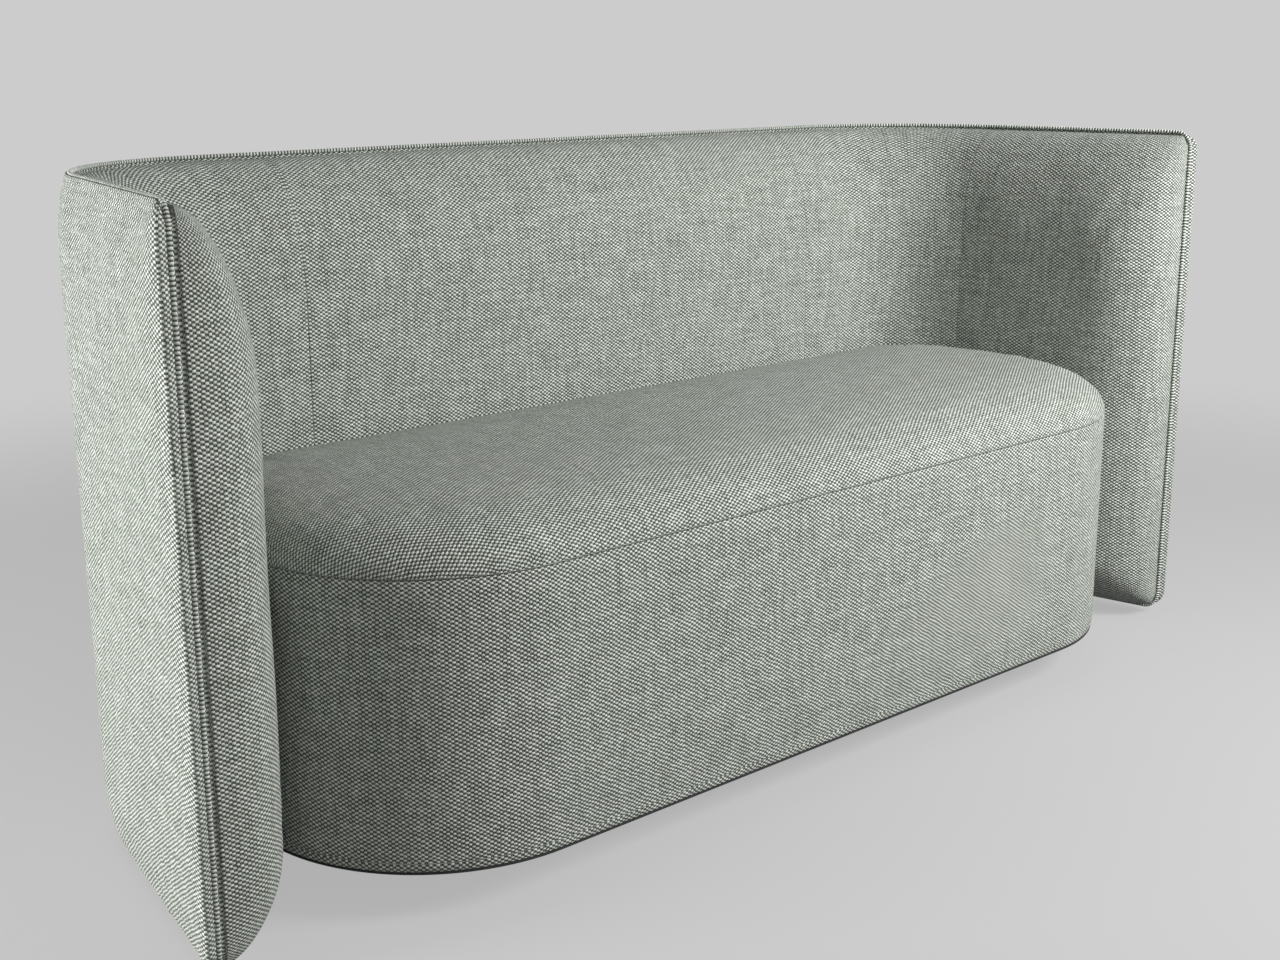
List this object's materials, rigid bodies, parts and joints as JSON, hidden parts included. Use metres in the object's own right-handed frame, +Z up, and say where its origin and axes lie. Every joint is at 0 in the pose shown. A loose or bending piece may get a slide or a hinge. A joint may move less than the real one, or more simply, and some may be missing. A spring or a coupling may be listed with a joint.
{
  "type": "lounge sofa",
  "caption": "Upholstered lounge sofa: a rounded seat block on a recessed plinth, wrapped by one padded screen that forms the back and splayed arms.",
  "frame": {"origin": "on the floor under the middle of the sofa", "axes": "+X to the sitter's left along the sofa's length, -Y to the front, +Z up"},
  "size_m": [1.744, 0.644, 0.8],
  "materials": {
    "upholstery": "chunky two-tone basket weave",
    "foam": "upholstery foam",
    "plywood": "birch plywood",
    "plinth": "black painted",
    "feet": "moulded black",
    "fixings": "zinc plated",
    "underside_cloth": "black non-woven cloth"
  },
  "bodies": {
    "sofa": {"arm_board_left": "plywood", "arm_board_right": "plywood", "arm_foam_left": "foam", "arm_foam_right": "foam", "arm_inner_cover_left": "upholstery", "arm_inner_cover_right": "upholstery", "arm_outer_padding_left": "foam", "arm_outer_padding_right": "foam", "back_board": "plywood", "back_foam": "foam", "back_inner_cover": "upholstery", "back_outer_padding": "foam", "board_plates": "fixings", "corner_board_left": "plywood", "corner_board_right": "plywood", "corner_foam_left": "foam", "corner_foam_right": "foam", "corner_inner_cover_left": "upholstery", "corner_inner_cover_right": "upholstery", "corner_outer_padding_left": "foam", "corner_outer_padding_right": "foam", "deck_screws": "fixings", "foot_nuts": "fixings", "outer_cover": "upholstery", "perimeter_welt": "upholstery", "plinth_end_left": "plinth", "plinth_end_right": "plinth", "plinth_rail_front": "plinth", "plinth_rail_rear": "plinth", "plinth_screws": "fixings", "seat_base_board": "plywood", "seat_deck_board": "plywood", "seat_foam": "foam", "seat_front_board": "plywood", "seat_front_corner_board_left": "plywood", "seat_front_corner_board_right": "plywood", "seat_rear_board": "plywood", "seat_rear_corner_board_left": "plywood", "seat_rear_corner_board_right": "plywood", "seat_rib_left": "plywood", "seat_rib_middle": "plywood", "seat_rib_right": "plywood", "seat_side_board_left": "plywood", "seat_side_board_right": "plywood", "seat_side_cover": "upholstery", "seat_side_padding": "foam", "seat_top_cover": "upholstery", "tie_bolt_nuts": "fixings", "tie_bolt_spacers": "fixings", "tie_bolts": "fixings", "underside_cloth": "underside_cloth"},
    "plinth_foot_front_left": {"plinth_foot_front_left": "feet"},
    "plinth_foot_front_right": {"plinth_foot_front_right": "feet"},
    "plinth_foot_rear_left": {"plinth_foot_rear_left": "feet"},
    "plinth_foot_rear_right": {"plinth_foot_rear_right": "feet"},
    "screen_foot_arm_left": {"screen_foot_arm_left": "feet"},
    "screen_foot_arm_right": {"screen_foot_arm_right": "feet"},
    "screen_foot_back_left": {"screen_foot_back_left": "feet"},
    "screen_foot_back_right": {"screen_foot_back_right": "feet"}
  },
  "joints": [
    {"name": "plinth_foot_front_left_level", "type": "slide", "parent": "sofa", "child": "plinth_foot_front_left", "axis": [0, 0, -1], "range_m": [0, 0.008]},
    {"name": "plinth_foot_front_right_level", "type": "slide", "parent": "sofa", "child": "plinth_foot_front_right", "axis": [0, 0, -1], "range_m": [0, 0.008]},
    {"name": "plinth_foot_rear_left_level", "type": "slide", "parent": "sofa", "child": "plinth_foot_rear_left", "axis": [0, 0, -1], "range_m": [0, 0.008]},
    {"name": "plinth_foot_rear_right_level", "type": "slide", "parent": "sofa", "child": "plinth_foot_rear_right", "axis": [0, 0, -1], "range_m": [0, 0.008]},
    {"name": "screen_foot_arm_left_level", "type": "slide", "parent": "sofa", "child": "screen_foot_arm_left", "axis": [0, 0, -1], "range_m": [0, 0.008]},
    {"name": "screen_foot_arm_right_level", "type": "slide", "parent": "sofa", "child": "screen_foot_arm_right", "axis": [0, 0, -1], "range_m": [0, 0.008]},
    {"name": "screen_foot_back_left_level", "type": "slide", "parent": "sofa", "child": "screen_foot_back_left", "axis": [0, 0, -1], "range_m": [0, 0.008]},
    {"name": "screen_foot_back_right_level", "type": "slide", "parent": "sofa", "child": "screen_foot_back_right", "axis": [0, 0, -1], "range_m": [0, 0.008]}
  ]
}
